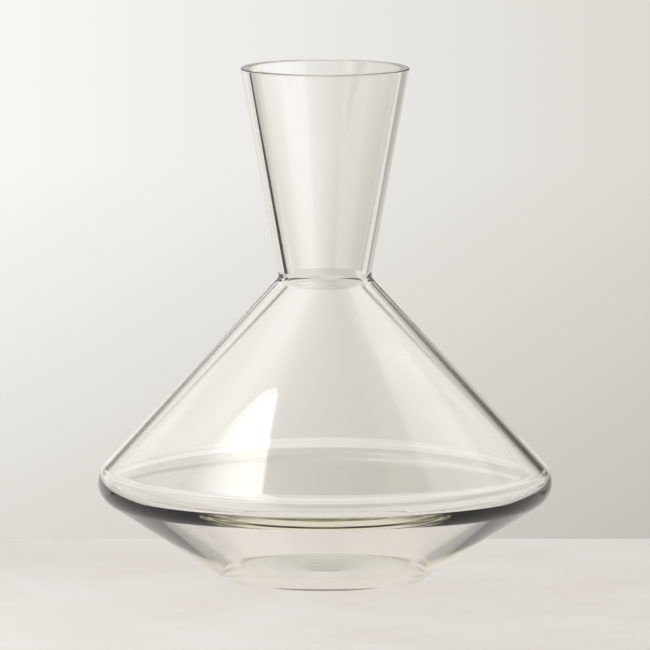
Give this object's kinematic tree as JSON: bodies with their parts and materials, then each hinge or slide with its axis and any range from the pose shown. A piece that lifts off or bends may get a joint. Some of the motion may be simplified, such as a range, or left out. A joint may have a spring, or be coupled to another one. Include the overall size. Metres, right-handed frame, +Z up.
{
  "type": "wine decanter",
  "caption": "Clear glass decanter with a flared neck, pinched waist, conical shoulder, wide rounded belly edge and flat foot, for airing and pouring wine.",
  "frame": {"origin": "on the vessel's axis, at the level of the ring that it stands on", "axes": "+Z up along the vessel's axis, from the foot to the rim; +X and +Y are any two level directions, because the vessel is round"},
  "size_m": [0.215, 0.215, 0.243],
  "materials": {
    "clear_glass": "clear, smooth, fire-polished"
  },
  "bodies": {
    "root": {"decanter_body": "clear_glass"}
  },
  "joints": []
}
